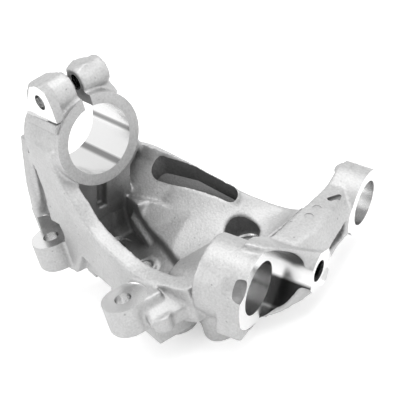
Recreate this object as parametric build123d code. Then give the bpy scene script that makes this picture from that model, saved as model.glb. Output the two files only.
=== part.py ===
from build123d import *
import math
import os

# A steering knuckle: one aluminium casting with machined seats, in millimetres.
# The origin is the wheel axis on the bearing face. +Z points inboard, +X points down
# the car towards the ball joint eyes, and the brake caliper bolts on at the -Y side.

# Wheel bearing flange: four feet under a plate, with a pilot recess in the middle
BOLT_DX = 84.0
BOLT_DY = 70.0
BOLT_HOLE_R = 6.5
FOOT_R = 15.0
FOOT_H = 12.0
PLATE_T = 20.0
PLATE_TOP = FOOT_H + PLATE_T
SEAT_R = 13.0
SEAT_CUT = 26.0
PILOT_R = 36.0
PILOT_WALL = 8.0
PILOT_LIP = 3.0
PILOT_DEPTH = 20.0
PILOT_ROOF = PILOT_LIP + PILOT_DEPTH
DOME_R = 34.0
DOME_H = 8.0

# Wheel speed sensor bore, which opens through the pilot's roof
SENSOR_X = 5.0
SENSOR_Y = -35.0
SENSOR_R = 7.0
SENSOR_SEAT_R = 10.5
SENSOR_TOP = PLATE_TOP + 5.0

# Round stop beside the feet
STOP_X = 76.0
STOP_Y = -18.0
STOP_R = 13.0
STOP_H = 26.0

# Strut clamp: its axis leaves the near rim at this point and in this direction
STRUT_X = -16.1
STRUT_Y = -27.9
STRUT_Z = 138.4
STRUT_YAW = 7.75
STRUT_DIP = 2.0
STRUT_R = 27.0
STRUT_WALL = 8.0
STRUT_LENGTH = 48.5
STRUT_FACING = 10.0
SPLIT_W = 7.0

# Pinch bolt, measured from the strut axis and back from the near rim
PINCH_UP = 41.4
PINCH_BACK = 16.8
PINCH_HOLE_R = 6.0
PINCH_BOSS_R = 14.0
PINCH_FACE = 27.7
NUT_BOSS_R = 11.5
NUT_FACE = 28.0

# Lugs and cheek of the clamp: corners as (across, up) from the strut axis, and where they start and end
LUG_FOOT = 20.0
LUG_BACK = 40.0
BOLT_LUG = ((0, LUG_FOOT), (-PINCH_FACE, LUG_FOOT), (2 - PINCH_FACE, PINCH_UP), (-20, 50), (-8, 54), (0, 50))
BOLT_LUG_START = 15.0
NUT_LUG = ((0, LUG_FOOT), (33, LUG_FOOT), (NUT_FACE, 33), (NUT_FACE, 47), (21, 52), (12, 54), (0, 49))
NUT_LUG_START = 10.0
CHEEK = ((10, -30), (30, 16), (36, 8), (40, -10), (46.5, -38), (30, -52))
CHEEK_BACK = 46.0
CHEEK_START = 24.0

# Caliper ears: each stands on a root that reaches back into the side wall
EAR_X = (-65.0, 57.3)
EAR_Y = -75.2
EAR_ROOT_Y = -51.5
EAR_TOP = 56.0
EAR_T = 24.0
EAR_LOW = EAR_TOP - EAR_T
EAR_R = 15.8
EAR_HOLE_R = 6.25
EAR_SEAT_R = 18.0
EAR_SEAT_CUT = 12.0
EAR_LUG_X = 80.0
EAR_LUG_Y = -60.0
EAR_LUG_R = 7.5
EAR_LUG_TOP = 44.0

# Straight ledge under the wall, beside the feet
LEDGE_X = 68.4
LEDGE_Y = -64.0
LEDGE_LENGTH = 40.0
LEDGE_TOP = 30.0

# Side wall: its line as (x, y at the foot, y at the head), and its outline as (x, z)
WALL_LINE = ((-82, -74, -64), (-35, -64, -62), (10, -59, -58), (50, -50, -50), (88, -33, -33))
WALL_T = 11.0
WALL_DRAFT = 3.0
WALL_FOOT = 26.0
WALL_HEAD = 146.0
WALL_RIM = (
    (-16, WALL_HEAD), (-20, 118), (-9.8, 102.4), (0, 86), (20.6, 72.8), (39, 63.6), (60, 59), (95, EAR_TOP),
)
WALL_REAR = ((-63, WALL_HEAD), (-66, 120), (-73, 90), (-79, 68), (-79, EAR_TOP), (-70, 0))
ARCH = ((-46, WALL_FOOT), (-28, 49), (-12, 44), (0, 37), (16, WALL_FOOT))
ARCH_Y = -62.0
GROOVE = ((-60, 130), (-66, 100), (-73, 72), (-62, 72), (-57, 100))
GROOVE_DEPTH = 5.0

# Web: sections at each x of its sloping face and its back, as (y, z)
WEB = (
    (-62, (-14, 36), (-4, 60), (4, 84), (10, 104), (26, 90)),
    (-43, (-14, 36), (-3, 53), (8, 78), (17, 100), (34, 84)),
    (-20, (-16, 36), (-5, 58), (13, 70), (32, 88), (47, 68)),
    (5, (-17, 36), (-12, 50), (16, 60), (42, 76), (57, 56)),
    (30, (-17, 34), (-15, 40), (26, 49), (61, 55.5), (72, 42)),
    (62, (-17, 32), (-15, 36), (28, 38), (79, 51), (86, 40)),
)

# Nose of the web beside the channel: its front and its lower back, each as (x, z) at a value of y
NOSE_FRONT = ((-62, 34), (-62, 66), (-33, 69.6), (-19, 69), (-4, 74), (4, 54), (14.6, 43), (26.4, 28))
NOSE_FRONT_Y = -14.0
NOSE_BACK = ((-62, 34), (-62, 62), (-33, 64), (-15, 62), (3, 58), (12, 50), (20, 42), (30, 28))
NOSE_BACK_Y = 8.0

# Long pocket in the web: rounds of its outline on the sloping face, and its depth along Z
POCKET_X = -6.0
POCKET_Y = 30.8
POCKET_Z = 72.8
POCKET_ALONG = (0.83, 0.47, -0.3)
POCKET_NORMAL = (0.537, -0.521, 0.664)
POCKET_DEPTH = 22.0
POCKET_ROUNDS = ((-29.0, 0.3, 9.0), (-6.0, 2.0, 9.3), (29.5, -0.5, 6.7))

# Spine at the rear of the channel: outline as (x, z), and the strip of y that it fills
SPINE = ((-62, 13), (-46, 13), (-53, 40), (-50, 57), (-43, 70), (-21, 108), (-21, 130), (-63, 130), (-66, 70))
SPINE_Y = (-58.0, -8.0)
CHASE = ((-12, 112), (-34, 68), (-50, 72), (-30, 104))
CHASE_Y = (-37.75, -30.25)

# First eye: centre of its face and direction of its axis; all below is measured from it
EYE1_X = 115.5
EYE1_Y = 1.9
EYE1_Z = 47.1
EYE_YAW = 27.9
EYE_DIP = 16.2
EYE1_R = 20.25
EYE1_WALL = 8.5
EYE1_DEPTH = 38.0
EYE1_BORE_DEPTH = 30.0

# Low rounds of the first eye's seat, as (across, up, radius), and the recess above its rear
SEAT_ROUNDS = ((-22.5, -25.5, 5.5), (4.0, -29.5, 3.0))
SCOOP_R = 12.0
SCOOP_REACH = 37.0
SCOOP_ANGLE = 147.0
SCOOP_LEVEL = -7.0

# Neck between the flange and the first eye
NECK_X = 50.0
NECK_Y = -8.0
NECK_Z = 34.0
NECK_W = 70.0
NECK_H = 44.0
NECK_ROUND = 14.0
NECK_LEVEL = -16.0

# Second eye: its face lies at the arm's face
ARM_FACE = 26.9
EYE2_ACROSS = 119.8
EYE2_UP = 0.0
EYE2_R = 17.6
EYE2_WALL = 8.2
EYE2_DEPTH = 24.0
EYE2_REAR = ARM_FACE - EYE2_DEPTH

# Threaded boss: its rim stands a little off the hole
BOSS_ACROSS = 41.2
BOSS_UP = -5.2
BOSS_HOLE_R = 8.3
BOSS_HOLE_DEPTH = 24.0
BOSS_RIM_ACROSS = BOSS_ACROSS + 1.5
BOSS_RIM_UP = BOSS_UP - 2.0
BOSS_R = 15.3
BOSS_DEPTH = 30.0

# Skirt from the first eye to the boss, around the arc that clears the eye's seat
SCALLOP_R = 31.0
SKIRT_R = 34.0
SKIRT_FOOT = -14.0
SKIRT_LINE = ((2, SKIRT_FOOT), (4.6, 1.3), (15.9, 12.6), (29.7, 21.6), (BOSS_ACROSS, ARM_FACE))

# Arm sections at each distance across from the first eye, as (level, up)
ARM_TOP = 23.6
ARM = (
    (14, (-20, 20), (4, 20), (6, 4), (6, -10), (-20, -6)),
    (30, (-5, ARM_TOP), (14, ARM_TOP), (20, 4), (22, -14), (-6, -12)),
    (50, (-3, ARM_TOP), (20, ARM_TOP), (ARM_FACE, 4), (ARM_FACE, -12), (0, -10)),
    (74, (1, ARM_TOP), (21, ARM_TOP), (ARM_FACE, 8), (ARM_FACE, -8), (2, -6)),
    (94, (EYE2_REAR, 22), (16, 22), (ARM_FACE, 11), (ARM_FACE, -11), (EYE2_REAR, -8)),
    (126, (EYE2_REAR, 20), (14, 20), (22, 15), (22, -12), (EYE2_REAR, -10)),
)
ARM_RECESS = ((58, 3), (87, 7.5), (87, -7), (60, -1.5))
ARM_RECESS_DEPTH = 7.0
TIP_ACROSS = 125.0
TIP_LEVEL = 8.0
TIP_R = 9.0
TIP_TOP = 25.6
TIP_H = 7.0

UP_FROM_BASE = (Align.CENTER, Align.CENTER, Align.MIN)
FAR = 220.0


def axis_frame(x, y, z, yaw, dip):
    """Plane at a point: its normal is +X turned by yaw and tipped down by dip, its x axis is level."""
    turn, tip = math.radians(yaw), math.radians(dip)
    normal = (math.cos(tip) * math.cos(turn), math.cos(tip) * math.sin(turn), -math.sin(tip))
    return Plane(origin=(x, y, z), x_dir=(-math.sin(turn), math.cos(turn), 0), z_dir=normal)


STRUT = axis_frame(STRUT_X, STRUT_Y, STRUT_Z, STRUT_YAW, STRUT_DIP)
EYES = axis_frame(EYE1_X, EYE1_Y, EYE1_Z, EYE_YAW, EYE_DIP)
SIDE = Plane(origin=(0, 0, 0), x_dir=(1, 0, 0), z_dir=(0, -1, 0))


def polygon(points):
    return make_face(Polyline(*points, close=True))


def rim_of(across, up, radius):
    return (Pos(across, up) * Circle(radius)).edge()


def upright(x, y, low, high, radius):
    """Vertical cylinder between two heights."""
    return Pos(x, y, low) * Cylinder(radius, high - low, align=UP_FROM_BASE)


def rod(frame, across, up, level, radius, length):
    """Cylinder along a frame's normal that ends at a level and runs back from it."""
    return frame * Pos(across, up, level - length) * Cylinder(radius, length, align=UP_FROM_BASE)


def slab(frame, face, low, high):
    """Flat face in a frame, made solid between two levels."""
    return frame * Pos(0, 0, low) * extrude(face, high - low)


def side_slab(face, low_y, high_y):
    """Face in (x, z), made solid between two values of y."""
    return Pos(0, high_y, 0) * extrude(SIDE * face, high_y - low_y)


def arm_slab(face, top, height):
    """Face in (across, level), made solid down from a height above the eyes' axis plane."""
    flat = Plane(origin=EYES.from_local_coords((0, top, 0)), x_dir=EYES.x_dir, z_dir=-EYES.y_dir)
    return extrude(flat * face, height)


def cross_rod(back, up, start, end, radius):
    """Cylinder across the strut clamp between two distances from its middle."""
    middle = STRUT * Pos((start + end) / 2, up, -back) * Rot(0, 90, 0)
    return middle * Cylinder(radius, abs(end - start))


def upright_plane(x):
    return Plane(origin=(x, 0, 0), x_dir=(0, 1, 0), z_dir=(1, 0, 0))


def bolt_spots():
    return [(sx * BOLT_DX / 2, sy * BOLT_DY / 2) for sx in (-1, 1) for sy in (-1, 1)]


def flange():
    """Bearing flange: plate, four feet, pilot ring, sensor seat, stop and a low dome inside."""
    body = extrude(Pos(0, 0, FOOT_H) * make_hull([rim_of(x, y, FOOT_R) for x, y in bolt_spots()]), PLATE_T)
    for x, y in bolt_spots():
        body += upright(x, y, 0, PLATE_TOP, FOOT_R)
    body += upright(0, 0, PILOT_LIP, PLATE_TOP, PILOT_R + PILOT_WALL)
    body += Pos(0, 0, PLATE_TOP) * Cone(DOME_R, DOME_R / 2, DOME_H, align=UP_FROM_BASE)
    body += upright(SENSOR_X, SENSOR_Y, FOOT_H, SENSOR_TOP, SENSOR_SEAT_R)
    return body + upright(STOP_X, STOP_Y, 0, STOP_H, STOP_R)


def flange_cuts():
    """Bolt holes with their spot faces, the pilot bore and the sensor bore."""
    cut = upright(0, 0, 0, PILOT_ROOF, PILOT_R)
    cut += upright(SENSOR_X, SENSOR_Y, PILOT_ROOF, SENSOR_TOP + SENSOR_R, SENSOR_R)
    for x, y in bolt_spots():
        cut += upright(x, y, 0, PLATE_TOP + SEAT_CUT, BOLT_HOLE_R)
        cut += upright(x, y, PLATE_TOP, PLATE_TOP + SEAT_CUT, SEAT_R)
    return cut


def web():
    """Web between the spine and the lower arm, with a nose beside the channel."""
    faces = []
    for x, foot, crest, middle, ridge, back in WEB:
        rest = Polyline(ridge, back, (back[0], FOOT_H), (foot[0], FOOT_H), foot, crest)
        faces.append(upright_plane(x) * make_face([Spline(crest, middle, ridge), rest]))
    front = Pos(0, NOSE_FRONT_Y, 0) * (SIDE * polygon(NOSE_FRONT))
    back = Pos(0, NOSE_BACK_Y, 0) * (SIDE * polygon(NOSE_BACK))
    return loft(faces) + loft([front, back], ruled=True)


def pocket():
    """Long rounded recess that lightens the web, drawn straight down."""
    face = Plane(origin=(POCKET_X, POCKET_Y, POCKET_Z), x_dir=POCKET_ALONG, z_dir=POCKET_NORMAL)
    floor = Pos(0, 0, -POCKET_DEPTH) * (face * make_hull([rim_of(*spot) for spot in POCKET_ROUNDS]))
    return extrude(floor, 2 * POCKET_DEPTH, dir=(0, 0, 1))


def wall():
    """Side wall from the clamp past the caliper ears to the first eye, with its swept rim."""
    faces = []
    for x, low, high in WALL_LINE:
        half = WALL_T / 2
        foot = (low - half, WALL_FOOT), (low + half + WALL_DRAFT, WALL_FOOT)
        head = (high + half, WALL_HEAD), (high - half, WALL_HEAD)
        faces.append(upright_plane(x) * polygon(foot + head))
    sheet = loft(faces)
    start, end = WALL_RIM[0], WALL_RIM[-1]
    corners = Polyline(end, (FAR, end[1]), (FAR, FAR), (start[0], FAR), start)
    above = make_face([Spline(*WALL_RIM), corners])
    behind = polygon(((WALL_REAR[0][0], FAR),) + WALL_REAR + ((-FAR, 0), (-FAR, FAR)))
    for outline in (above, behind):
        sheet -= side_slab(outline, -FAR, 0)
    sheet -= side_slab(polygon(ARCH), -FAR, ARCH_Y)
    strip = sheet & side_slab(polygon(GROOVE), -FAR, 0)
    return sheet - Pos(0, GROOVE_DEPTH - WALL_T, 0) * strip


def ears():
    """Two caliper ears with their roots, and the low lug in front of the second ear."""
    body = upright(EAR_LUG_X, EAR_LUG_Y, EAR_LOW, EAR_LUG_TOP, EAR_LUG_R)
    for x in EAR_X:
        body += upright(x, EAR_Y, EAR_LOW, EAR_TOP, EAR_R)
        root = Box(2 * EAR_R, EAR_ROOT_Y - EAR_Y, EAR_T, align=(Align.CENTER, Align.MIN, Align.MIN))
        body += Pos(x, EAR_Y, EAR_LOW) * root
    return body


def ear_cuts():
    """Bolt holes of the ears, with a spot face that clears the side wall above each one."""
    cut = Part()
    for x in EAR_X:
        cut += upright(x, EAR_Y, EAR_LOW - EAR_R, EAR_TOP + EAR_R, EAR_HOLE_R)
        cut += upright(x, EAR_Y, EAR_TOP, EAR_TOP + EAR_SEAT_CUT, EAR_SEAT_R)
    return cut


def ledge():
    """Straight ledge beside the feet."""
    rail = Box(LEDGE_X, LEDGE_LENGTH, LEDGE_TOP - FOOT_H, align=(Align.MAX, Align.MIN, Align.MIN))
    return Pos(LEDGE_X, LEDGE_Y, FOOT_H) * rail


def clamp():
    """Clamp ring with a lug on each side of the split and a cheek that runs down to the web."""
    body = rod(STRUT, 0, 0, 0, STRUT_R + STRUT_WALL, STRUT_LENGTH)
    body += cross_rod(PINCH_BACK, PINCH_UP, -PINCH_FACE, 0, PINCH_BOSS_R)
    body += cross_rod(PINCH_BACK, PINCH_UP, 0, NUT_FACE, NUT_BOSS_R)
    body += slab(STRUT, polygon(BOLT_LUG), -LUG_BACK, -BOLT_LUG_START)
    body += slab(STRUT, polygon(NUT_LUG), -LUG_BACK, -NUT_LUG_START)
    return body + slab(STRUT, polygon(CHEEK), -CHEEK_BACK, -CHEEK_START)


def clamp_cuts():
    """Strut bore, split, pinch bolt hole and the facing of the ring's far rim."""
    cut = rod(STRUT, 0, 0, STRUT_R, STRUT_R, 2 * STRUT_R + STRUT_LENGTH)
    split = Box(SPLIT_W, 2 * PINCH_UP, STRUT_LENGTH * 2, align=(Align.CENTER, Align.MIN, Align.CENTER))
    cut += STRUT * Pos(0, 0, -STRUT_LENGTH / 2) * split
    cut += rod(STRUT, 0, 0, -STRUT_LENGTH, STRUT_R + STRUT_WALL, STRUT_FACING)
    return cut + cross_rod(PINCH_BACK, PINCH_UP, -2 * PINCH_FACE, 2 * NUT_FACE, PINCH_HOLE_R)


def eyes():
    """Both eyes; the first one's seat runs down into two low rounds."""
    outer = EYE1_R + EYE1_WALL
    seat = make_hull([Circle(outer).edge()] + [rim_of(*spot) for spot in SEAT_ROUNDS])
    body = slab(EYES, seat, -EYE1_DEPTH / 2, 0) + rod(EYES, 0, 0, 0, outer, EYE1_DEPTH)
    return body + rod(EYES, EYE2_ACROSS, EYE2_UP, ARM_FACE, EYE2_R + EYE2_WALL, EYE2_DEPTH)


def eye_cuts():
    """Bores of both eyes, the boss hole, the arc that clears the first eye's seat and the recesses."""
    cut = rod(EYES, 0, 0, EYE1_R, EYE1_R, EYE1_R + EYE1_BORE_DEPTH)
    cut += rod(EYES, 0, 0, 2 * SCALLOP_R, SCALLOP_R, 2 * SCALLOP_R)
    cut += rod(EYES, EYE2_ACROSS, EYE2_UP, ARM_FACE + EYE2_R, EYE2_R, 2 * EYE2_R + EYE2_DEPTH)
    cut += rod(EYES, BOSS_ACROSS, BOSS_UP, ARM_FACE + BOSS_R, BOSS_HOLE_R, BOSS_R + BOSS_HOLE_DEPTH)
    turn = math.radians(SCOOP_ANGLE)
    middle = SCOOP_REACH * math.cos(turn), SCOOP_REACH * math.sin(turn), SCOOP_LEVEL
    cut += EYES * Pos(*middle) * Sphere(SCOOP_R)
    return cut + slab(EYES, polygon(ARM_RECESS), ARM_FACE - ARM_RECESS_DEPTH, ARM_FACE + ARM_RECESS_DEPTH)


def neck():
    """Body that gathers the wall, the flange and the web into the first eye."""
    block = upright_plane(NECK_X) * Pos(NECK_Y, NECK_Z) * RectangleRounded(NECK_W, NECK_H, NECK_ROUND)
    end = EYES * Pos(0, 0, NECK_LEVEL) * Circle(EYE1_R + EYE1_WALL - 1)
    return loft([block, end])


def skirt():
    """Thin skirt that runs from the first eye's seat out to the boss, cut off along a slanting line."""
    hull = make_hull([Circle(SKIRT_R).edge(), rim_of(BOSS_RIM_ACROSS, BOSS_RIM_UP, BOSS_R)])
    reach = BOSS_RIM_ACROSS + 2 * BOSS_R
    edge = SKIRT_LINE + ((reach, ARM_FACE), (reach, 0), (SKIRT_R / 2, SKIRT_FOOT))
    body = slab(EYES, hull, SKIRT_FOOT, ARM_FACE) & arm_slab(polygon(edge), SKIRT_R, 2 * SKIRT_R)
    return body + rod(EYES, BOSS_RIM_ACROSS, BOSS_RIM_UP, ARM_FACE, BOSS_R, BOSS_DEPTH)


def arm():
    """Arm from the first eye out to the second, with a flat pad on top and a small boss at its tip."""
    faces = []
    for across, *corners in ARM:
        origin = EYES.from_local_coords((across, 0, 0))
        faces.append(Plane(origin=origin, x_dir=EYES.z_dir, z_dir=-EYES.x_dir) * polygon(corners))
    tip = Pos(TIP_ACROSS, TIP_LEVEL) * Circle(TIP_R)
    return loft(faces, ruled=True) + arm_slab(tip, TIP_TOP, TIP_H)


def knuckle():
    """Whole casting: all that is cast in one, less what is cut out of it."""
    spine = side_slab(polygon(SPINE), *SPINE_Y)
    chase = side_slab(polygon(CHASE), *CHASE_Y)
    body = flange() + web() + spine + wall() + ears() + ledge() + clamp()
    body += neck() + skirt() + arm() + eyes()
    for cut in (flange_cuts(), pocket(), chase, clamp_cuts(), eye_cuts(), ear_cuts()):
        body -= cut
    return body


if __name__ == "__main__":
    part = knuckle()
    os.makedirs("parts", exist_ok=True)
    export_step(part, "parts/knuckle_casting.step")
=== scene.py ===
# %% [markdown]
# A steering knuckle joins the strut, the wheel bearing, the brake caliper and the ball joints of a car.
# It is one aluminium casting. The foundry leaves a grainy grey skin with soft corners, and a mill then
# cuts the bores and seats, which come out bright with crisp edges. This lesson follows the same order:
# first the raw casting, then the machining, then the finishes, and last the studio.

# %% Load the frame
import bmesh
import bpy
import math
from mathutils import Matrix, Vector
from mathutils.bvhtree import BVHTree


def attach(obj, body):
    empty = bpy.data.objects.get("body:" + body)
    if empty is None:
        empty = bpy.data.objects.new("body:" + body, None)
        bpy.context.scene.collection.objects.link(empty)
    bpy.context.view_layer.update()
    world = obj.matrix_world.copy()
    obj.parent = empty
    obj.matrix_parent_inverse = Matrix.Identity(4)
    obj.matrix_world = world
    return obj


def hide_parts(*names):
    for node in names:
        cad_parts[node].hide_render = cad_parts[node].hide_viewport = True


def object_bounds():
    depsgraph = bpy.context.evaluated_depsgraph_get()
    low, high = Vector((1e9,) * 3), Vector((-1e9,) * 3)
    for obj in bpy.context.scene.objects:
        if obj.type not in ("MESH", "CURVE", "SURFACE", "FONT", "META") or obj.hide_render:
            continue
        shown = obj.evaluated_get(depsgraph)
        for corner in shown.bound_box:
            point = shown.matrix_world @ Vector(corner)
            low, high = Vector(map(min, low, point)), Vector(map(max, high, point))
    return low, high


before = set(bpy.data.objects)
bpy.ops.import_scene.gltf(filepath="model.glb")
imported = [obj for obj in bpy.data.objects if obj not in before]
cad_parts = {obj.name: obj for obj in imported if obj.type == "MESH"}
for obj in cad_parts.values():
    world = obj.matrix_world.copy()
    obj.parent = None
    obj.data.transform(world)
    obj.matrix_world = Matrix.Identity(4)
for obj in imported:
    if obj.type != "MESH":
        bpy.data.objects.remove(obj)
cad_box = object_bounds()
casting_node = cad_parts["knuckle_casting"]
MM = 0.001
print("CAD box in metres:", cad_box)

# %% [markdown]
# The strut clamp and the eyes don't lie along the main axes. Each gets a frame of its own, a matrix whose
# columns are across, up and outwards. A rod or a block is then drawn in that frame with plain numbers.

# %% Working frames
def turned_frame(x, y, z, yaw, dip):
    """Frame at a point in millimetres: its third axis is +X turned by yaw and tipped down by dip."""
    turn, tip = math.radians(yaw), math.radians(dip)
    out = Vector((math.cos(tip) * math.cos(turn), math.cos(tip) * math.sin(turn), -math.sin(tip)))
    across = Vector((-math.sin(turn), math.cos(turn), 0))
    up = out.cross(across)
    columns = Matrix((across, up, out)).transposed().to_4x4()
    return Matrix.Translation(Vector((x, y, z))) @ columns


UPRIGHT = Matrix.Identity(4)
STRUT = turned_frame(-16.1, -27.9, 138.4, 7.75, 2.0)
EYES = turned_frame(115.5, 1.9, 47.1, 27.9, 16.2)
ARM_TOP = EYES @ Matrix(((1, 0, 0, 0), (0, 0, 1, 0), (0, -1, 0, 0), (0, 0, 0, 1)))
print("Frames:", len((UPRIGHT, STRUT, EYES, ARM_TOP)))


# %% [markdown]
# Every tool of the mill and every lump of extra metal is a small closed solid. One helper turns a drawing in
# millimetres into an object in metres. Three more use it to draw a rod, a hull and a block, and later cells add
# a prism and a ball.

# %% Solids in a frame
def add_object(name, data):
    """New object with a mesh, a lamp or a camera as its data, linked to the scene."""
    piece = bpy.data.objects.new(name, data)
    bpy.context.scene.collection.objects.link(piece)
    return piece


def solid(name, draw, place):
    """Object with the mesh that draw makes in millimetres, moved by a frame and scaled to metres."""
    shape = bmesh.new()
    draw(shape)
    bmesh.ops.transform(shape, matrix=Matrix.Scale(MM, 4) @ place, verts=shape.verts)
    bmesh.ops.recalc_face_normals(shape, faces=shape.faces)
    mesh = bpy.data.meshes.new(name)
    shape.to_mesh(mesh)
    shape.free()
    return add_object(name, mesh)


def rod(place, across, up, low, high, radius, sides=96):
    """Rod along the frame's third axis, from one level to another."""
    def draw(shape):
        centre = Matrix.Translation((across, up, (low + high) / 2))
        bmesh.ops.create_cone(shape, cap_ends=True, segments=sides, radius1=radius, radius2=radius,
                              depth=high - low, matrix=centre)

    return solid("rod", draw, place)


def hull(place, *points):
    """Smallest convex solid around some points of a frame."""
    def draw(shape):
        corners = [shape.verts.new(point) for point in points]
        made = bmesh.ops.convex_hull(shape, input=corners)
        inside = {item for item in made["geom_interior"] if isinstance(item, bmesh.types.BMVert)}
        bmesh.ops.delete(shape, geom=list(inside), context="VERTS")

    return solid("hull", draw, place)


def block(place, low, high):
    """Block between two corners of a frame."""
    return hull(place, *[(x, y, z) for x in (low[0], high[0]) for y in (low[1], high[1])
                         for z in (low[2], high[2])])


print("Solids to draw:", [kind.__name__ for kind in (rod, hull, block)])


# %% [markdown]
# A Boolean modifier adds or removes one solid. Baking it at once with new_from_object keeps the object plain,
# so the next step starts from a simple mesh again.

# %% Bake a modifier
def bake(piece, kind, **settings):
    """Adds one modifier, turns its result into the object's mesh and removes it."""
    modifier = piece.modifiers.new(kind.title(), kind)
    for key, value in settings.items():
        setattr(modifier, key, value)
    view = bpy.context.evaluated_depsgraph_get()
    result = bpy.data.meshes.new_from_object(piece.evaluated_get(view))
    piece.modifiers.remove(modifier)
    piece.data = result


def combine(piece, operation, solids, finish=None):
    """Adds or cuts each solid; with a finish, the faces that it leaves get that material."""
    for other in solids:
        if finish:
            other.data.materials.append(finish)
        bake(piece, "BOOLEAN", operation=operation, solver="MANIFOLD", object=other)
        bpy.data.objects.remove(other)


print("Bakers:", bake.__name__, combine.__name__)

# %% [markdown]
# The raw casting starts as a copy of the CAD solid. Extra metal closes the bores and stands a little proud of
# each machined face, as a foundry leaves it for the mill. The places and face levels are those of the CAD, in
# millimetres, and the rods are a little wider than its rings.

# %% Raw casting with metal to spare
ALLOWANCE = 3.0
CLAMP_LENGTH, CLAMP_RADIUS = 48.5, 35.6
SECOND_EYE, ARM_FACE = 119.8, 26.9
EAR_SPOTS, EAR_FACE = ((-65.0, -75.2), (57.3, -75.2)), 56

shape = bmesh.new()
shape.from_mesh(casting_node.data)
bmesh.ops.remove_doubles(shape, verts=shape.verts, dist=1e-6)
mesh = bpy.data.meshes.new("casting")
shape.to_mesh(mesh)
shape.free()
casting = add_object("casting", mesh)

spare = [
    rod(STRUT, 0, 0, -CLAMP_LENGTH, ALLOWANCE, CLAMP_RADIUS),
    rod(EYES, 0, 0, -3, ALLOWANCE, 29.2),
    rod(EYES, SECOND_EYE, 0, 3.2, ARM_FACE + ALLOWANCE, 26.2),
    rod(EYES, 42.7, -7.2, -3, ARM_FACE + ALLOWANCE, 15.8),
]
spare += [rod(UPRIGHT, x, y, 33, EAR_FACE + ALLOWANCE, 16.2) for x, y in EAR_SPOTS]
combine(casting, "UNION", spare)
print("Raw casting:", len(casting.data.polygons), "faces")

# %% [markdown]
# Some lumps of the casting are easiest to see as hulls, because a cast lump is mostly a convex block with soft
# corners. The near lug of the clamp widens towards its drop-shaped bolt face, a rib runs down the rear corner
# to the first ear, and a flat ledge lies beside the second ear.

# %% Lug, rear rib and ledge
LUG_FACE = -27.7
lug_outline = [(-43, 26.7), (-21.7, 27.9), (-1.6, 28), (-1.9, 39.6), (-3.3, 46.6), (-5.3, 52.6), (-11, 54.3),
               (-17.5, 54.6), (-24.7, 51.4), (-29.2, 46), (-33.2, 38.9)]
lug = [(LUG_FACE - ALLOWANCE, up, level) for level, up in lug_outline]
lug += [(-17, up - 1, level - 3) for level, up in lug_outline]
RIB_STEPS = ((140, -66, -78, -66), (126, -68.5, -80, -70), (100, -75, -80, -71), (80, -77.5, -80, -72),
             (57, -78, -80, -73))
rear_rib = [(x, y, z) for z, front, low, high in RIB_STEPS
            for x, y in ((low, front), (high, front), (low, front + 8), (high, front + 8))]
ledge = [(50, -62, 30), (84, -65, 34), (84, -30.6, 30), (60, -25, 30), (84.5, -71.5, 41.5), (84.5, -30.6, 42),
         (60, -66, 53), (62, -58, 56), (66, -30, 54)]
combine(casting, "UNION", [hull(STRUT, *lug), hull(UPRIGHT, *rear_rib), hull(UPRIGHT, *ledge)])
print("With lug, rib and ledge:", len(casting.data.polygons), "faces")


# %% [markdown]
# The web is one long slope with a pocket in it. The pocket is closed first, then the slope fills out beside it,
# so that the rounding doesn't soften the pocket's rim. The pocket itself is cut again later.

# %% Slope of the web
WEB_SPOT, WEB_RISE = (-6, 30.8, 72.8), (-0.809, 0.785)


def web_slope(x, y):
    """Height of the web's sloping face."""
    return WEB_SPOT[2] + WEB_RISE[0] * (x - WEB_SPOT[0]) + WEB_RISE[1] * (y - WEB_SPOT[1])


def slope_slab(corners, low, high):
    """Slab between two heights over the sloping face."""
    return hull(UPRIGHT, *[(x, y, web_slope(x, y) + rise) for x, y in corners for rise in (low, high)])


def arc(centre, radius, start, end, steps):
    """Points on an arc, with its angles in degrees."""
    turns = [math.radians(start + (end - start) * k / steps) for k in range(steps + 1)]
    return [(centre[0] + radius * math.cos(t), centre[1] + radius * math.sin(t)) for t in turns]


POCKET_NORMAL = Vector((0.537, -0.521, 0.664)).normalized()
POCKET_ALONG = Vector((0.83, 0.47, -0.3)).normalized()
POCKET_ALONG = (POCKET_ALONG - POCKET_ALONG.dot(POCKET_NORMAL) * POCKET_NORMAL).normalized()
POCKET_UP = POCKET_NORMAL.cross(POCKET_ALONG)


def pocket_solid(grow, low, high):
    """The long pocket of the web: three rounds on the slope, swept along the wheel axis."""
    rim = []
    for along, up, radius in ((-29.0, 0.3, 9.0), (-6.0, 2.0, 9.3), (29.5, -0.5, 6.7)):
        for a, b in arc((along, up), radius + grow, 0, 350, 35):
            rim.append(Vector(WEB_SPOT) + a * POCKET_ALONG + b * POCKET_UP)
    return hull(UPRIGHT, *[point + Vector((0, 0, rise)) for point in rim for rise in (low, high)])


combine(casting, "UNION", [pocket_solid(1.5, -24, 0),
                           slope_slab(((-56, -9), (-24, -9), (-30, 14), (-56, 14)), -30, 0),
                           slope_slab(((-34, -19.5), (0, -19.5), (-6, 20), (-34, 20)), -14, 0)])
print("With its slope:", len(casting.data.polygons), "faces")

# %% [markdown]
# Five cuts take a little off again: the nose of the web where it stands over the slope, the backs of both clamp
# lugs, and two steps at the tip of the arm.

# %% Trimmed lumps
above_slope = [(x, y, web_slope(x, y) + rise)
               for x, y, foot in ((-21, -24, 6), (-32, 26, 4), (16, -24, 28), (16, 26, 9.5)) for rise in (foot, 36)]
far_lug_back = [(x, up, level) for x in (0, 60)
                for up, level in ((40, -26), (90, -26), (90, -90), (34, -90), (40, -30))]
near_lug_back = [(x, up, level) for x in (-60, 0)
                 for up, level in ((55, -16), (46, -48), (90, -90), (90, -16))]
combine(casting, "DIFFERENCE", [hull(UPRIGHT, *above_slope),
                                hull(STRUT, *far_lug_back), hull(STRUT, *near_lug_back),
                                block(EYES, (104, 21.5, -20), (135, 40, 3.6)),
                                block(EYES, (123.3, 21.5, -20), (135, 40, 12))])
print("Trimmed lumps:", len(casting.data.polygons), "faces")

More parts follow.
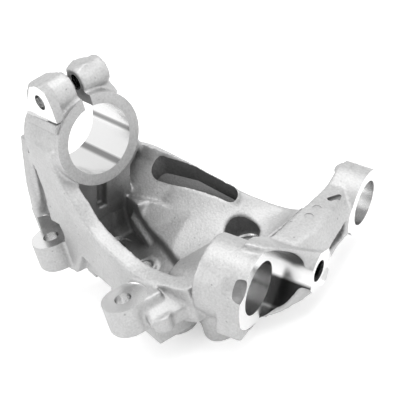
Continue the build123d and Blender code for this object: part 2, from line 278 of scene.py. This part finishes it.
# %% [markdown]
# Sand and die castings have no sharp corners. A voxel remesh gives the whole body even small faces, and a few
# rounds of smoothing then roll every edge and fill every inner corner with a small fillet. Decimate then keeps
# the faces small only where the surface bends. A Bevel could round a simple mesh, but this one is all thin
# triangles.

# %% Foundry fillets
VOXEL = 1.2 * MM
bake(casting, "REMESH", mode="VOXEL", voxel_size=VOXEL, use_smooth_shade=True)
bake(casting, "SMOOTH", factor=0.5, iterations=10)
print("Remeshed:", len(casting.data.polygons), "faces")
bake(casting, "DECIMATE", ratio=0.5)
print("Decimated:", len(casting.data.polygons), "faces")


# %% [markdown]
# A voxel remesh can leave a bubble of one voxel beside the body. A walk along the edges finds the loose parts,
# and all but the largest are deleted, because the real knuckle is one piece.

# %% One piece only
def keep_largest(mesh):
    """Deletes every loose part but the largest. Returns how many parts it found."""
    shape = bmesh.new()
    shape.from_mesh(mesh)
    left, parts = set(shape.verts), []
    while left:
        rim, part = [left.pop()], []
        while rim:
            vertex = rim.pop()
            part.append(vertex)
            near = [edge.other_vert(vertex) for edge in vertex.link_edges]
            rim += [other for other in near if other in left]
            left.difference_update(near)
        parts.append(part)
    parts.sort(key=len)
    bmesh.ops.delete(shape, geom=[vertex for part in parts[:-1] for vertex in part], context="VERTS")
    shape.to_mesh(mesh)
    shape.free()
    return len(parts)


print("Loose parts:", keep_largest(casting.data))

# %% [markdown]
# The knuckle has three finishes: the blasted cast skin, a darker copy of it that paints shade into the recesses,
# and milled metal.
# A tool has one finish as its only material and leaves it on the faces that it cuts, so no face needs to be
# picked by hand. They start as empty materials in the casting's slots, because a Boolean keeps a tool's material
# only where the casting already has it.

# %% Finishes as empty materials
cast_skin = bpy.data.materials.new("cast_skin")
recess_shade_skin = bpy.data.materials.new("recess_shade_skin")
machined = bpy.data.materials.new("machined")
casting.data.materials.clear()
for finish in (cast_skin, recess_shade_skin, machined):
    casting.data.materials.append(finish)
print("Slots:", [material.name for material in casting.data.materials])

# %% [markdown]
# Two edges of the casting are crisp all the same, because the halves of the mould met there: the drop-shaped
# seat of the bolt and the bar under it. They go on after the rounding. A block the size of the whole part then
# trims what stands out.

# %% Crisp edges from the mould
def prism(place, outline, shift):
    """Solid that a flat outline sweeps along a shift."""
    def draw(shape):
        face = shape.faces.new([shape.verts.new(point) for point in outline])
        swept = bmesh.ops.extrude_face_region(shape, geom=[face])
        moved = [item for item in swept["geom"] if isinstance(item, bmesh.types.BMVert)]
        bmesh.ops.translate(shape, vec=shift, verts=moved)

    return solid("prism", draw, place)


seat = [(LUG_FACE - 1, up, level) for level, up in lug_outline]
under_bar = [(x, up, level) for x, up in ((-31, 20.5), (-31, 23.5), (-29, 26.5), (-22, 26.5), (-22, 18))
             for level in (-41, -2)]
combine(casting, "UNION", [prism(STRUT, seat, (8, 0, 0)), hull(STRUT, *under_bar)], cast_skin)
spots = [vertex.co / MM for vertex in casting_node.data.vertices]
whole = [[pick(spot[axis] for spot in spots) for axis in range(3)] for pick in (min, max)]
combine(casting, "INTERSECT", [block(UPRIGHT, *whole)], cast_skin)
print("Trimmed to:", [round(high - low, 2) for low, high in zip(*whole)], "mm")

# %% [markdown]
# The clamp's front is flat but still has the cast skin, and two round marks of the mould lie on the arm. The
# pocket, the access hole over one bolt, the scoop beside the first eye, the slot in the arm and the split of the
# clamp are recesses, so their tools carry the dark finish that paints shade into them.

# %% Recesses with painted shade
SEAT_RADIUS = 13.0


def ball(place, across, up, level, radius):
    """Ball round a point of a frame."""
    def draw(shape):
        centre = Matrix.Translation((across, up, level))
        bmesh.ops.create_icosphere(shape, subdivisions=4, radius=radius, matrix=centre)

    return solid("ball", draw, place)


facing = rod(STRUT, 0, 0, 0, 9, CLAMP_RADIUS + 1, sides=128)
marks = [rod(ARM_TOP, x, y, 23.0, 30, 3.4, sides=48) for x, y in ((71.6, -9.3), (60.8, -8.1))]
combine(casting, "DIFFERENCE", [facing] + marks, cast_skin)

access_hole = rod(UPRIGHT, 42, 35, 33, 60, SEAT_RADIUS)
scoop = ball(EYES, -28.3, 18.4, -2.5, 10.5)
arm_slot = hull(ARM_TOP, *[(a, b, z) for spot in ((86.5, -13), (94, -17.5)) for a, b in arc(spot, 2.4, 0, 324, 9)
                           for z in (20, 30)])
split = block(STRUT, (-3.5, 10, -80), (3.5, 90, 30))
# The tools of the recesses leave the dark finish there: painted shade.
combine(casting, "DIFFERENCE", [pocket_solid(0, -14, 22), access_hole, scoop, arm_slot, split], recess_shade_skin)
print("Cored:", len(casting.data.polygons), "faces")

# %% [markdown]
# Now the mill. It bores the clamp, both eyes, the recess of the bearing and the hole of the speed sensor, faces
# the lug, the eyes and the boss, drills the bolt holes and cuts their round seats. The foot of the rear rib goes
# on last, because the seat of the first ear would otherwise cut it off.

# %% Mill the bores and seats
STRUT_BORE, FIRST_BORE, SECOND_BORE, SCALLOP = 27.0, 20.25, 17.6, 31.0
BOSS_HOLE, PINCH_HOLE, SENSOR_HOLE = (41.2, -5.2), (41.4, -16.8), (5, -35)
BEARING_RECESS, EAR_SEAT = 36.0, 18.0
BOLT_SPOTS = [(x, y) for x in (-42.0, 42.0) for y in (-35.0, 35.0)]
lug_face = [(LUG_FACE, up, level) for level, up in ((-60, 26.7), (4, 26.7), (4, 60), (-60, 60))]
pinch_rim = [(x, PINCH_HOLE[0] + b, PINCH_HOLE[1] + a) for a, b in arc((0, 0), 6.0, 0, 350, 35) for x in (-60, 60)]
tools = [
    rod(STRUT, 0, 0, -120, 30, STRUT_BORE, sides=180),
    prism(STRUT, lug_face, (-20, 0, 0)),
    hull(STRUT, *pinch_rim),
    rod(EYES, 0, 0, 0, 60, SCALLOP, sides=180),
    rod(EYES, 0, 0, -30, 20, FIRST_BORE, sides=180),
    rod(EYES, SECOND_EYE, 0, ARM_FACE, 60, 29.0, sides=128),
    rod(EYES, SECOND_EYE, 0, -12, 60, SECOND_BORE, sides=180),
    rod(EYES, *BOSS_HOLE, ARM_FACE, 60, 18.0),
    rod(EYES, *BOSS_HOLE, 2.9, 60, 8.3),
    rod(UPRIGHT, 0, 0, -10, 23, BEARING_RECESS, sides=128),
    rod(UPRIGHT, *SENSOR_HOLE, 10, 50, 7.0),
]
for x, y in EAR_SPOTS:
    tools += [rod(UPRIGHT, x, y, 20, 80, 6.25), rod(UPRIGHT, x, y, EAR_FACE, 72, EAR_SEAT)]
for x, y in BOLT_SPOTS:
    tools += [rod(UPRIGHT, x, y, -5, 40, 6.5), rod(UPRIGHT, x, y, 32, 34, SEAT_RADIUS)]
combine(casting, "DIFFERENCE", tools, machined)
rib_foot = [(x, y, z) for z, low, high in ((EAR_FACE, -80.7, -76.2), (78, -80.7, -74)) for x in (low, high)
            for y in (-77.5, -60)]
combine(casting, "UNION", [hull(UPRIGHT, *rib_foot)], cast_skin)
print("Milled:", len(casting.data.polygons), "faces")

# %% [markdown]
# The polished walls show long light and dark bands, by the angle round each bore. Real bands are reflections of
# a workshop that this plain studio doesn't have, so here they are painted: each face corner keeps a value, and
# the milled finish turns it into a tone. They lie on the metal and stay where they are in any light.

# %% Bands of the polished bores
PAINTED_REFLECTION_BANDS = (
    (STRUT, 0.0, STRUT_BORE, ((-180, 0.9), (-77, 0.9), (-73, 0.3), (-66, 0.3), (-62, 1.0), (-19, 1.0), (-15, 0.25),
                              (-10, 0.3), (-6, 0.85), (30, 0.7), (100, 0.6), (180, 0.9))),
    (EYES, 0.0, FIRST_BORE, ((-180, 1.0), (-10, 1.0), (14, 0.9), (20, 0.5), (32, 0.5), (40, 1.0), (150, 1.0),
                             (160, 0.3), (172, 0.3), (180, 1.0))),
    (EYES, 0.0, SCALLOP, ((-180, 0.06), (-68, 0.06), (-64, 0.3), (-60, 0.06), (-24, 0.05), (-19, 1.0), (2, 0.95),
                          (10, 0.5), (180, 0.5))),
    (EYES, SECOND_EYE, SECOND_BORE, ((-180, 0.9), (-20, 1.0), (10, 0.6), (60, 0.5), (120, 0.9), (180, 0.9))),
)
WALL_REACH = 61.0
WALL_SLACK = 0.03


def value_at(stops, place):
    """Value between two stops of a list of (place, value)."""
    for (low, one), (high, two) in zip(stops, stops[1:]):
        if low <= place <= high:
            return one + (two - one) * (place - low) / (high - low)
    return stops[-1][1]


def mark_painted_reflections(mesh, bands, slot):
    """Writes the band value of each corner; faces away from the bores get 1."""
    values = [1.0] * len(mesh.loops)
    walls = [((Matrix.Scale(MM, 4) @ place).inverted(), across, radius, stops)
             for place, across, radius, stops in bands]
    for face in mesh.polygons:
        if face.material_index != slot:
            continue
        for inverse, across, radius, stops in walls:
            spots = [inverse @ mesh.vertices[v].co for v in face.vertices]
            if all(abs(math.hypot(p.x - across, p.y) - radius) < WALL_SLACK and p.z < WALL_REACH for p in spots):
                for loop, p in zip(face.loop_indices, spots):
                    values[loop] = value_at(stops, math.degrees(math.atan2(p.y, p.x - across)))
                break
    mesh.attributes.new("band", "FLOAT", "CORNER").data.foreach_set("value", values)
    return sum(value < 1 for value in values)


print("Banded walls:", len(PAINTED_REFLECTION_BANDS))


# %% [markdown]
# The finishes paint shade into the shut-in places of the casting, where little light reaches. Rays from each vertex
# measure how shut in it is, and the value is kept as an attribute for the finishes. An Ambient Occlusion node
# would look alike, but it has to be worked out again in each render.

# %% Painted shade of each vertex
RAY_START = 0.0006


def measure_occlusion_shade(mesh, reach, count):
    """Writes the share of rays from each vertex that meet the casting again within reach."""
    golden = math.pi * (3 - math.sqrt(5))
    ways = []
    for k in range(count):
        z = 1 - 2 * (k + 0.5) / count
        flat = math.sqrt(1 - z * z)
        ways.append(Vector((flat * math.cos(golden * k), flat * math.sin(golden * k), z)))
    tree = BVHTree.FromPolygons([v.co for v in mesh.vertices], [p.vertices for p in mesh.polygons])
    shares = []
    for vertex in mesh.vertices:
        normal = vertex.normal
        start = vertex.co + normal * RAY_START
        seen, met = 0.0, 0.0
        for way in ways:
            facing_share = way.dot(normal)
            if facing_share > 0.05:
                seen += facing_share
                hit = tree.ray_cast(start, way, reach)
                if hit[0] is not None:
                    met += facing_share * (1 - 0.5 * hit[3] / reach)
        shares.append(met / seen if seen else 0.0)
    mesh.attributes.new("occlusion_shade", "FLOAT", "POINT").data.foreach_set("value", shares)
    return sum(shares) / len(shares)


print("Vertices:", len(casting.data.vertices))
print("Mean shelter:", round(measure_occlusion_shade(casting.data, reach=0.09, count=40), 3))
print("Corners in bands:", mark_painted_reflections(casting.data, PAINTED_REFLECTION_BANDS, casting.data.materials.find("machined")))


# %% [markdown]
# Smooth shading hides the small faces. The edges where two finishes meet stay sharp, and so does any edge
# that turns by more than 40 degrees.

# %% Shading
def crisp_edges(mesh, angle):
    """Smooth faces, with sharp edges between finishes and where the surface turns hard."""
    view = bmesh.new()
    view.from_mesh(mesh)
    for face in view.faces:
        face.smooth = True
    for edge in view.edges:
        if len(edge.link_faces) != 2:
            continue
        one, two = edge.link_faces
        edge.smooth = one.material_index == two.material_index and edge.calc_face_angle(0) < angle
    view.to_mesh(mesh)
    view.free()


crisp_edges(casting.data, math.radians(40))
print("Triangles:", sum(len(p.vertices) - 2 for p in casting.data.polygons))


# %% [markdown]
# A material is a small chain of nodes. The first helper adds one node, sets its inputs and links others in. Two
# more make the parts that most finishes need: a grey ramp, and the product of two tones.

# %% Node helpers
def add_node(tree, kind, links=None, **values):
    """One node of the given kind, with input values by name and links from other nodes' sockets."""
    node = tree.nodes.new(kind)
    for key, value in values.items():
        if key in node.bl_rna.properties and not key[0].isupper():
            setattr(node, key, value)
        else:
            node.inputs[key.replace("_", " ")].default_value = value
    for key, socket in (links or {}).items():
        tree.links.new(socket, node.inputs[key])
    return node


def ramp(tree, factor, stops):
    """Colour ramp of grey stops, given as (place, grey)."""
    node = add_node(tree, "ShaderNodeValToRGB", {"Fac": factor})
    band = node.color_ramp
    while len(band.elements) < len(stops):
        band.elements.new(0.5)
    for element, (place, grey) in zip(band.elements, stops):
        element.position = place
        element.color = (grey, grey, grey, 1)
    return node.outputs["Color"]


def multiply(tree, one, two):
    """Product of two colours."""
    node = add_node(tree, "ShaderNodeMix", data_type="RGBA", blend_type="MULTIPLY")
    node.inputs[0].default_value = 1.0
    tree.links.new(one, node.inputs[6])
    tree.links.new(two, node.inputs[7])
    return node.outputs[2]


print("Node helpers:", [helper.__name__ for helper in (add_node, ramp, multiply)])


# %% [markdown]
# The cast skin is light grey with a fine grain, faint stains and a few dark pits. Where a vertex is most shut in,
# it gets darker, as painted shade. The recess finish is darker still, as painted shade in the recesses. One
# function makes both from a light and a dark tone.

# %% Cast skin
def finish_cast_skin(material, light, dark):
    """Cast aluminium between a light and a dark tone, darker as painted shade where the surface is shut in."""
    material.use_nodes = True
    tree = material.node_tree
    shader = tree.nodes["Principled BSDF"]
    shader.inputs["Metallic"].default_value = 0.75
    where = add_node(tree, "ShaderNodeTexCoord").outputs["Object"]
    grain = add_node(tree, "ShaderNodeTexNoise", {"Vector": where}, Scale=620.0, Detail=3.0)
    stain = add_node(tree, "ShaderNodeTexNoise", {"Vector": where}, Scale=45.0, Detail=4.0, Roughness=0.6)
    pits = add_node(tree, "ShaderNodeTexNoise", {"Vector": where}, Scale=260.0, Detail=1.0)
    occlusion_shade = add_node(tree, "ShaderNodeAttribute", attribute_name="occlusion_shade").outputs["Fac"]
    # Painted shade: the tone darkens where the vertex is shut in.
    tone = ramp(tree, occlusion_shade, ((0.0, light), (0.3, light * 0.93), (0.62, dark)))
    tone = multiply(tree, tone, ramp(tree, stain.outputs["Fac"], ((0.3, 0.88), (0.7, 1.0))))
    tone = multiply(tree, tone, ramp(tree, grain.outputs["Fac"], ((0.3, 0.80), (0.7, 1.0))))
    tone = multiply(tree, tone, ramp(tree, pits.outputs["Fac"], ((0.2, 0.6), (0.27, 1.0))))
    tree.links.new(tone, shader.inputs["Base Color"])
    rough = add_node(tree, "ShaderNodeMapRange", {"Value": grain.outputs["Fac"]}, To_Min=0.40, To_Max=0.62)
    tree.links.new(rough.outputs["Result"], shader.inputs["Roughness"])
    bump = add_node(tree, "ShaderNodeBump", {"Height": grain.outputs["Fac"]}, Strength=0.5, Distance=0.0005)
    tree.links.new(bump.outputs["Normal"], shader.inputs["Normal"])


finish_cast_skin(cast_skin, 0.62, 0.36)
# Dark tones for the recesses: painted shade.
finish_cast_skin(recess_shade_skin, 0.28, 0.22)
print("Cast finishes:", cast_skin.name, recess_shade_skin.name)


# %% [markdown]
# Milled aluminium is bright bare metal. Its tool marks are too fine to model, so they only vary the roughness,
# and the band attribute sets its tone, which paints the reflection bands into the colour.

# %% Milled metal
def finish_machined(material):
    """Bright milled aluminium with faint tool marks and painted reflection bands."""
    material.use_nodes = True
    tree = material.node_tree
    shader = tree.nodes["Principled BSDF"]
    shader.inputs["Metallic"].default_value = 1.0
    where = add_node(tree, "ShaderNodeTexCoord").outputs["Object"]
    tool_marks = add_node(tree, "ShaderNodeTexNoise", {"Vector": where}, Scale=260.0, Detail=2.0)
    rough = add_node(tree, "ShaderNodeMapRange", {"Value": tool_marks.outputs["Fac"]}, To_Min=0.16, To_Max=0.3)
    tree.links.new(rough.outputs["Result"], shader.inputs["Roughness"])
    band = add_node(tree, "ShaderNodeAttribute", attribute_name="band").outputs["Fac"]
    # Painted reflections: the band value sets the base colour.
    tree.links.new(ramp(tree, band, ((0.0, 0.0), (1.0, 0.86))), shader.inputs["Base Color"])


finish_machined(machined)
print("Milled finish:", machined.name)


# %% [markdown]
# Two holes are tapped: the boss between the eyes and the far lug of the clamp. A thread follows one rule, a small
# ridge swept along a helix, so a Geometry Nodes tree makes it from its radius, pitch, turns and depth. Both holes
# share the tree, and only the numbers differ.

# %% Tree of a thread
def thread_tree(finish):
    """Geometry Nodes tree of a thread: a three-sided ridge along a helix."""
    tree = bpy.data.node_groups.new("thread", "GeometryNodeTree")
    for name in ("Radius", "Pitch", "Turns", "Depth"):
        tree.interface.new_socket(name=name, in_out="INPUT", socket_type="NodeSocketFloat")
    tree.interface.new_socket(name="Geometry", in_out="OUTPUT", socket_type="NodeSocketGeometry")
    given = tree.nodes.new("NodeGroupInput").outputs
    height = add_node(tree, "ShaderNodeMath", {0: given["Pitch"], 1: given["Turns"]}, operation="MULTIPLY")
    helix = add_node(tree, "GeometryNodeCurveSpiral",
                     {"Rotations": given["Turns"], "Start Radius": given["Radius"], "End Radius": given["Radius"],
                      "Height": height.outputs[0]}, Resolution=32)
    ridge = add_node(tree, "GeometryNodeCurvePrimitiveCircle", {"Radius": given["Depth"]}, Resolution=3)
    swept = add_node(tree, "GeometryNodeCurveToMesh",
                     {"Curve": helix.outputs[0], "Profile Curve": ridge.outputs["Curve"]}, Fill_Caps=True)
    real = add_node(tree, "GeometryNodeRealizeInstances", {"Geometry": swept.outputs[0]})
    dressed = add_node(tree, "GeometryNodeSetMaterial", {"Geometry": real.outputs[0]}, Material=finish)
    tree.links.new(dressed.outputs[0], tree.nodes.new("NodeGroupOutput").inputs[0])
    return tree


helix_tree = thread_tree(machined)
print("Nodes of the thread:", len(helix_tree.nodes))


# %% [markdown]
# The tree works in millimetres along its own Z axis. Its mesh is then moved into the hole and scaled to metres,
# and its faces are turned outwards, because a swept ridge can come out inside out.

# %% Threads in their holes
def tap(name, tree, place, **values):
    """Thread object: runs the tree with the values in millimetres and moves its mesh to the place."""
    piece = add_object(name, bpy.data.meshes.new(name))
    modifier = piece.modifiers.new("Thread", "NODES")
    modifier.node_group = tree
    for item in tree.interface.items_tree:
        if item.in_out == "INPUT":
            modifier[item.identifier] = values[item.name.lower()]
    view = bpy.context.evaluated_depsgraph_get()
    mesh = bpy.data.meshes.new_from_object(piece.evaluated_get(view))
    piece.modifiers.remove(modifier)
    mesh.transform(Matrix.Scale(MM, 4) @ place)
    shape = bmesh.new()
    shape.from_mesh(mesh)
    bmesh.ops.recalc_face_normals(shape, faces=shape.faces)
    shape.to_mesh(mesh)
    shape.free()
    piece.data = mesh
    return piece


in_boss = EYES @ Matrix.Translation((*BOSS_HOLE, 4.5))
in_lug = STRUT @ Matrix.Translation((5.5, *PINCH_HOLE)) @ Matrix.Rotation(math.radians(90), 4, "Y")
boss_thread = tap("boss_thread", helix_tree, in_boss, radius=8.2, pitch=1.5, turns=14.0, depth=0.8)
clamp_thread = tap("clamp_thread", helix_tree, in_lug, radius=5.9, pitch=1.75, turns=12.0, depth=0.8)
print("Thread faces:", len(boss_thread.data.polygons), len(clamp_thread.data.polygons))

# %% [markdown]
# The knuckle has no joints, so all three pieces ride on its one body. The dressed casting stands for the CAD
# solid, which is hidden but stays for the physics.

# %% Ride on the body
casting.name = "knuckle_skin"
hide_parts("knuckle_casting")
for piece in (casting, boss_thread, clamp_thread):
    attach(piece, "root")
print("Pieces:", casting.name, boss_thread.name, clamp_thread.name)


# %% [markdown]
# The studio floor is white paper, far wider than the view, so it is also the background. A little glow for the
# camera and for reflections lifts it to white, and its diffuse part still takes the soft shadow.

# %% Floor
def plain_sheet(name, size, height):
    """Flat square sheet at a height, centred on the origin."""
    sheet = bpy.data.meshes.new(name)
    half = size / 2
    sheet.from_pydata([(-half, -half, height), (half, -half, height), (half, half, height), (-half, half, height)],
                      [], [(0, 1, 2, 3)])
    return add_object(name, sheet)


def finish_floor(material, lift):
    """White paper, lifted by some glow for the camera and for reflections."""
    material.use_nodes = True
    tree = material.node_tree
    tree.nodes.clear()
    path = add_node(tree, "ShaderNodeLightPath").outputs
    seen = add_node(tree, "ShaderNodeMath", {0: path["Is Camera Ray"], 1: path["Is Glossy Ray"]},
                    operation="ADD").outputs[0]
    seen = add_node(tree, "ShaderNodeMath", {0: seen, 1: path["Is Transmission Ray"]}, operation="ADD").outputs[0]
    part = add_node(tree, "ShaderNodeMath", {0: seen}, operation="MULTIPLY")
    part.inputs[1].default_value = lift
    glow = add_node(tree, "ShaderNodeEmission", {"Strength": part.outputs[0]}, Color=(1, 1, 1, 1))
    paper = add_node(tree, "ShaderNodeBsdfDiffuse", Color=(0.9, 0.9, 0.9, 1))
    both = add_node(tree, "ShaderNodeAddShader")
    tree.links.new(glow.outputs[0], both.inputs[0])
    tree.links.new(paper.outputs[0], both.inputs[1])
    out = add_node(tree, "ShaderNodeOutputMaterial")
    tree.links.new(both.outputs[0], out.inputs["Surface"])


FLOOR_SIZE, FLOOR_GLOW = 6.0, 0.45
floor = plain_sheet("floor", FLOOR_SIZE, cad_box[0][2])
floor_paint = bpy.data.materials.new("floor_paint")
finish_floor(floor_paint, FLOOR_GLOW)
floor.data.materials.append(floor_paint)
print("Floor at", cad_box[0][2])

# %% [markdown]
# The world is an even white dome. Metal shows it at full strength, and for the rest it is dimmer, so that the
# pale skin doesn't burn out. One large soft lamp above and a weaker one at each side give the form.

# %% World and lamps
scene = bpy.context.scene
scene.view_settings.view_transform = "Standard"
world = bpy.data.worlds.new("studio")
scene.world = world
world.use_nodes = True
sky = world.node_tree.nodes["Background"]
sky.inputs["Color"].default_value = (1, 1, 1, 1)
glossy = add_node(world.node_tree, "ShaderNodeLightPath").outputs["Is Glossy Ray"]
strength = add_node(world.node_tree, "ShaderNodeMapRange", {"Value": glossy}, To_Min=0.62, To_Max=1.0)
world.node_tree.links.new(strength.outputs["Result"], sky.inputs["Strength"])


def lamp(name, spot, aim, width, height, power):
    """Soft rectangular lamp at a spot, turned to its aim."""
    light = bpy.data.lights.new(name, "AREA")
    light.shape = "RECTANGLE"
    light.size, light.size_y, light.energy = width, height, power
    holder = add_object(name, light)
    holder.location = spot
    holder.rotation_euler = (aim - Vector(spot)).to_track_quat("-Z", "Y").to_euler()
    return holder


CENTRE = Vector((0.03, 0.02, 0.06))
lamps = [lamp("top_lamp", (0.2, 0.3, 1.5), CENTRE, 1.2, 1.2, 10),
         lamp("left_lamp", (-0.2, -1.5, 0.9), CENTRE, 1.0, 0.8, 6),
         lamp("right_lamp", (1.1, 1.1, 0.8), CENTRE, 0.8, 0.8, 4)]
print("Lamps:", len(lamps))

# %% [markdown]
# The camera stands where the photographer stood, found by matching the bores and ears to their places in the
# picture. A long lens keeps the lines nearly parallel.

# %% Camera
camera = add_object("camera", bpy.data.cameras.new("camera"))
camera.data.sensor_width = 36.0
camera.data.lens = 113.84
side = Vector((0.5082, 0.8240, -0.2505))
tall = Vector((-0.3365, 0.4577, 0.8230))
back = side.cross(tall).normalized()
tall = back.cross(side).normalized()
turn = Matrix((side.normalized(), tall, back)).transposed().to_4x4()
camera.matrix_world = Matrix.Translation((0.7696, -0.2966, 0.5549)) @ turn
scene.camera = camera
print("Camera at", tuple(round(v, 3) for v in camera.location))

# %% [markdown]
# Last the view layer is updated. The dressed model has to stay inside the box of the CAD model.

# %% Finish
bpy.context.view_layer.update()
